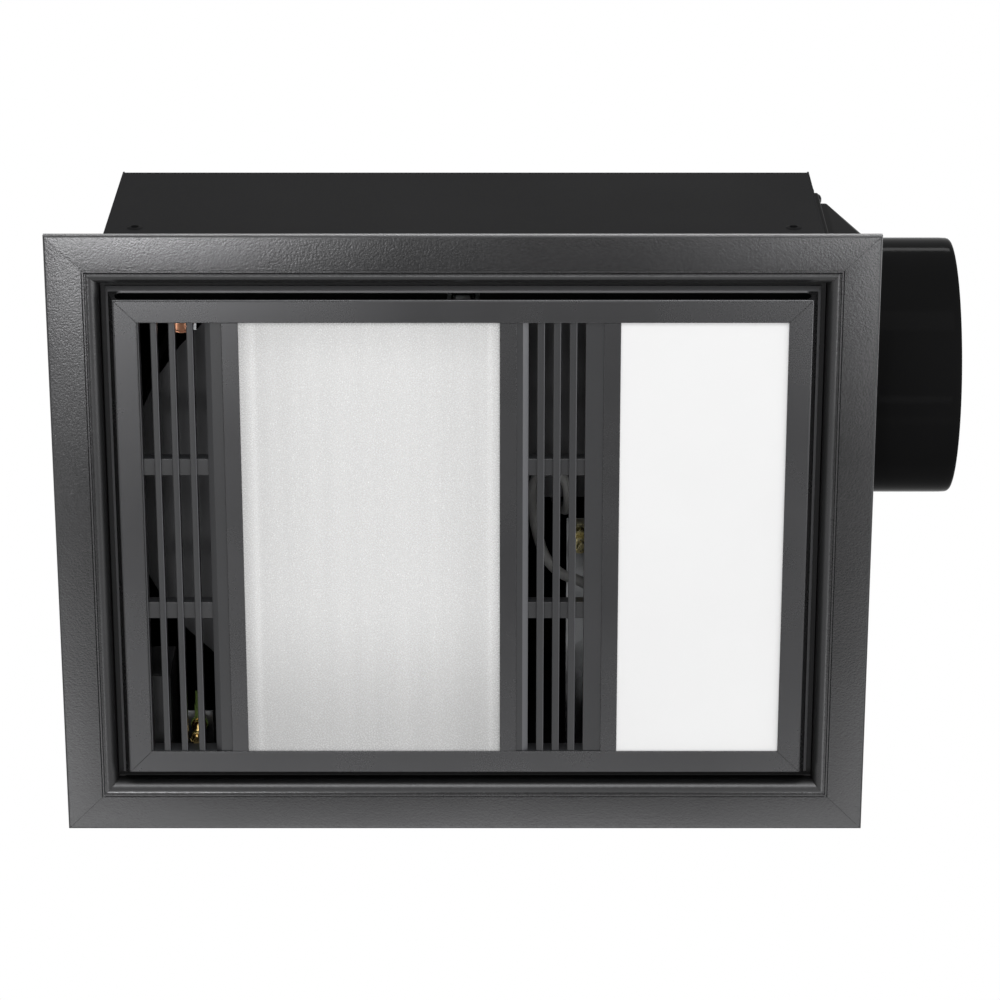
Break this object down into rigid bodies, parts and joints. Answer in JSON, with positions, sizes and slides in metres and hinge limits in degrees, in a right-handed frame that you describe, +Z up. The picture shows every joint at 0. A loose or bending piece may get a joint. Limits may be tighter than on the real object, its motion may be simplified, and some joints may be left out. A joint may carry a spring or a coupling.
{
  "type": "bathroom heater exhaust fan",
  "caption": "Ceiling-mounted bathroom heater and exhaust fan with a framed front, slatted grilles, frosted heater glass, light diffuser and a side duct collar.",
  "frame": {"origin": "middle of the housing's rim, in the plane of its upper face, which lies against the underside of the ceiling", "axes": "+Z up into the roof space, +X towards the duct collar, front panel facing -Z, long side along X"},
  "size_m": [0.511, 0.36, 0.2057],
  "materials": {
    "housing_coat": "satin",
    "fascia_coat": "satin",
    "galvanised": "satin",
    "adaptor_plastic": "gloss",
    "zinc_screws": "satin",
    "shield_steel": "satin",
    "motor_metal": "satin",
    "brass_parts": "polished",
    "polished_aluminium": "polished",
    "quartz": "polished",
    "ceramic_caps": "matte",
    "heating_wire": "satin",
    "copper_cap": "satin",
    "terminal_plastic": "satin",
    "block_plastic": "satin",
    "grommet_rubber": "matte",
    "earth_sleeve": "satin",
    "plated_bolt": "satin",
    "capacitor_case": "satin",
    "driver_case": "satin",
    "lead_sheath": "satin",
    "panel_coat": "satin",
    "grille_plastic": "satin",
    "frosted_glass": "matte",
    "opal_diffuser": "satin",
    "tray_metal": "satin",
    "board_white": "satin",
    "chip_yellow": "satin",
    "spring_steel": "satin",
    "impeller_plastic": "satin",
    "shaft_steel": "polished",
    "flap_plastic": "satin"
  },
  "bodies": {
    "housing": {"housing_wrap": "housing_coat", "housing_ends": "housing_coat", "housing_tabs": "housing_coat", "housing_rim": "housing_coat", "fascia_rail_front": "fascia_coat", "fascia_rail_rear": "fascia_coat", "fascia_rail_left": "fascia_coat", "fascia_rail_right": "fascia_coat", "fascia_corner_keys": "galvanised", "duct_adaptor": "adaptor_plastic", "pan_screws": "zinc_screws", "scroll_base": "shield_steel", "scroll_wall": "shield_steel", "motor_plate": "shield_steel", "motor_can": "motor_metal", "motor_bearings": "brass_parts", "blower_standoffs": "zinc_screws", "heat_reflector": "polished_aluminium", "reflector_ends": "polished_aluminium", "heat_shield": "shield_steel", "quartz_tubes": "quartz", "tube_end_caps": "ceramic_caps", "heating_wires": "heating_wire", "thermal_cutout": "copper_cap", "wall_brackets": "galvanised", "terminal_box": "terminal_plastic", "terminal_cover": "terminal_plastic", "terminal_block": "block_plastic", "terminal_screws": "brass_parts", "cable_grommet": "grommet_rubber", "earth_stud": "brass_parts", "earth_tag": "earth_sleeve", "bracket_bolt": "plated_bolt", "run_capacitor": "capacitor_case", "capacitor_clip": "zinc_screws", "light_driver": "driver_case", "inner_lead": "lead_sheath"},
    "panel": {"panel_rail_front": "panel_coat", "panel_rail_rear": "panel_coat", "panel_rail_left": "panel_coat", "panel_rail_right": "panel_coat", "panel_corner_keys": "galvanised", "mullion_left": "panel_coat", "mullion_middle": "panel_coat", "mullion_right": "panel_coat", "grille_left": "grille_plastic", "grille_middle": "grille_plastic", "heat_glass": "frosted_glass", "light_diffuser": "opal_diffuser", "light_tray": "tray_metal", "light_board": "board_white", "light_chips": "chip_yellow", "panel_springs": "spring_steel", "spring_saddles": "galvanised"},
    "impeller": {"impeller": "impeller_plastic", "impeller_blades": "impeller_plastic", "motor_shaft": "shaft_steel", "hub_nut": "plated_bolt"},
    "flap": {"backdraft_flap": "flap_plastic", "flap_pin": "shaft_steel"}
  },
  "joints": [
    {"name": "panel_drop", "type": "slide", "parent": "housing", "child": "panel", "axis": [0, 0, -1], "range_m": [0, 0.05]},
    {"name": "impeller_spin", "type": "hinge", "parent": "housing", "child": "impeller", "pos_m": [-0.06, 0.0117, 0.13], "axis": [0, 0, 1], "continuous": true},
    {"name": "flap_swing", "type": "hinge", "parent": "housing", "child": "flap", "pos_m": [0.243, -0.069, 0.114], "axis": [0, -1, 0], "range_deg": [0, 70]}
  ]
}
